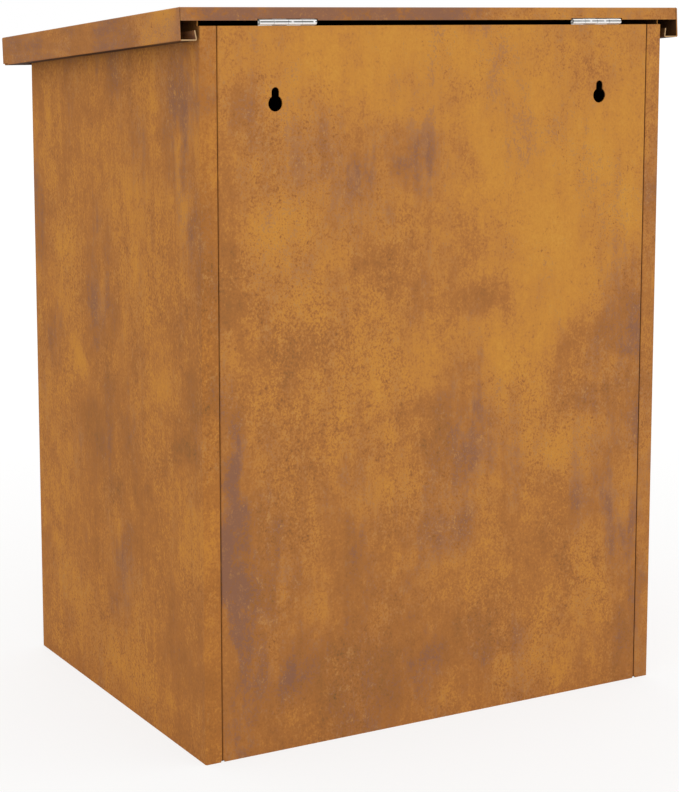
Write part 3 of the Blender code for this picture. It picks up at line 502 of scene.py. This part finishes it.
def rubberFinish(name):
    pad = Finish(name, Specular_IOR_Level=rubber["shine"])
    dust = pad.clouds(pad.place(), *rubber["noise"])
    dusty = pad.ramp(dust, *rubber["dusty"])
    pad.set("Base Color", pad.tint(dusty, tone(rubber["black"]), tone(rubber["dust"])))
    pad.set("Roughness", rubber["roughness"] + (dust - 0.5) * rubber["roughness spread"])
    pad.bump(dust, *rubber["bump"])
    return pad.material


def dress(names, material):
    for name in names:
        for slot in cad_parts[name].material_slots:
            slot.material = material


def named(start):
    return sorted(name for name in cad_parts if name.startswith(start))


for name, piece in sheets.items():
    dress([name], rustAndPaintedShadeFinish("weathered " + name, piece))
dress(named("lid_hinge"), brightFinish("lid hinge zinc"))
dress(named("door_hinge"), brightFinish("door hinge zinc"))
dress(named("seam_rivet"), brightFinish("rivet zinc"))
dress(["lock_nut", "lock_cam", "cam_screw"], brightFinish("cam zinc"))
dress(["lock_housing", "lock_plug"], brightFinish("lock chrome"))
dress(named("lid_buffer"), rubberFinish("buffer rubber"))
print("pieces dressed")


# Floor and light
studio = {
    "floor size": 60.0,
    "floor colour": "e9e8e6",
    "floor white": 0.72,  # how far the floor near the box is plain white, the rest being its shadow
    "white from": (0.4, 1.6),  # how far from the box it grows to plain white
    "white strength": 1.06,
    "sky": 0.86,
    "lamps": [
        # where it stands, what it looks at, width, height, watts
        ((1.5, 2.3, 1.6), (0.0, 0.1, 0.25), 1.6, 1.6, 12.0),
        ((-2.2, 1.2, 1.5), (0.0, 0.1, 0.25), 1.6, 1.6, 7.0),
        ((-0.6, -2.4, 1.7), (0.0, -0.1, 0.25), 1.6, 1.6, 9.0),
    ],
}


def makeFloor():
    half = studio["floor size"] / 2
    corners = [(-half, -half, 0), (half, -half, 0), (half, half, 0), (-half, half, 0)]
    mesh = bpy.data.meshes.new("floor")
    mesh.from_pydata(corners, [], [(0, 1, 2, 3)])
    floor = bpy.data.objects.new("floor", mesh)
    bpy.context.scene.collection.objects.link(floor)
    ground = Finish("pale floor", Roughness=0.9, Specular_IOR_Level=0.1)
    ground.set("Base Color", tone(studio["floor colour"]))
    near = studio["floor white"]
    away = ground.length(ground.place())
    whiteness = near + ground.ramp(away, *studio["white from"], 1 - near)
    glow = {"Color": (1, 1, 1, 1), "Strength": studio["white strength"]}
    white = ground.node("ShaderNodeEmission", {}, glow)
    painted = Wire(ground, ground.surface.outputs[0])
    factor = ground.seenDirectly() * whiteness
    both = ground.node("ShaderNodeMixShader", {}, {0: factor, 1: painted, 2: white})
    ground.feed(ground.output.inputs["Surface"], both)
    mesh.materials.append(ground.material)


def makeSky():
    world = bpy.data.worlds.new("studio sky")
    bpy.context.scene.world = world
    world.use_nodes = True
    world.node_tree.nodes.clear()
    sky = Sheet(world.node_tree)
    light = sky.node("ShaderNodeBackground", {}, {"Color": (1, 1, 1, 1), "Strength": studio["sky"]})
    white = sky.node("ShaderNodeBackground", {}, {"Color": (1, 1, 1, 1), "Strength": 1.0})
    both = sky.node("ShaderNodeMixShader", {}, {0: sky.seenDirectly(), 1: light, 2: white})
    out = world.node_tree.nodes.new("ShaderNodeOutputWorld")
    sky.feed(out.inputs["Surface"], both)


def makeLamps():
    for number, (stand, aim, width, height, watts) in enumerate(studio["lamps"], 1):
        lamp = bpy.data.lights.new(f"soft lamp {number}", "AREA")
        lamp.shape = "RECTANGLE"
        lamp.size, lamp.size_y = width, height
        lamp.energy = watts
        holder = bpy.data.objects.new(lamp.name, lamp)
        holder.location = stand
        holder.rotation_mode = "QUATERNION"
        holder.rotation_quaternion = (Vector(aim) - Vector(stand)).to_track_quat("-Z", "Y")
        bpy.context.scene.collection.objects.link(holder)


makeFloor()
makeSky()
makeLamps()
print("floor and lamps made")

# Behind the box and to its +X side, level with the lid. Angles are in degrees and the lens and
# the sensor in millimetres.
camera = {
    "stand": (0.70703, 1.2408, 0.47581),
    "turn": 150.279,
    "tip": 7.844,
    "lens": 90.7,
    "sensor": 36.0,
    "shift": -0.138,
}


def makeCamera():
    view = bpy.data.cameras.new("photo camera")
    view.lens = camera["lens"]
    view.sensor_width = camera["sensor"]
    view.shift_y = camera["shift"]
    holder = bpy.data.objects.new("photo camera", view)
    holder.location = camera["stand"]
    holder.rotation_euler = (math.radians(90.0 - camera["tip"]), 0.0, math.radians(camera["turn"]))
    bpy.context.scene.collection.objects.link(holder)
    bpy.context.scene.camera = holder


makeCamera()
bpy.context.scene.view_settings.view_transform = "Standard"
print("camera made")
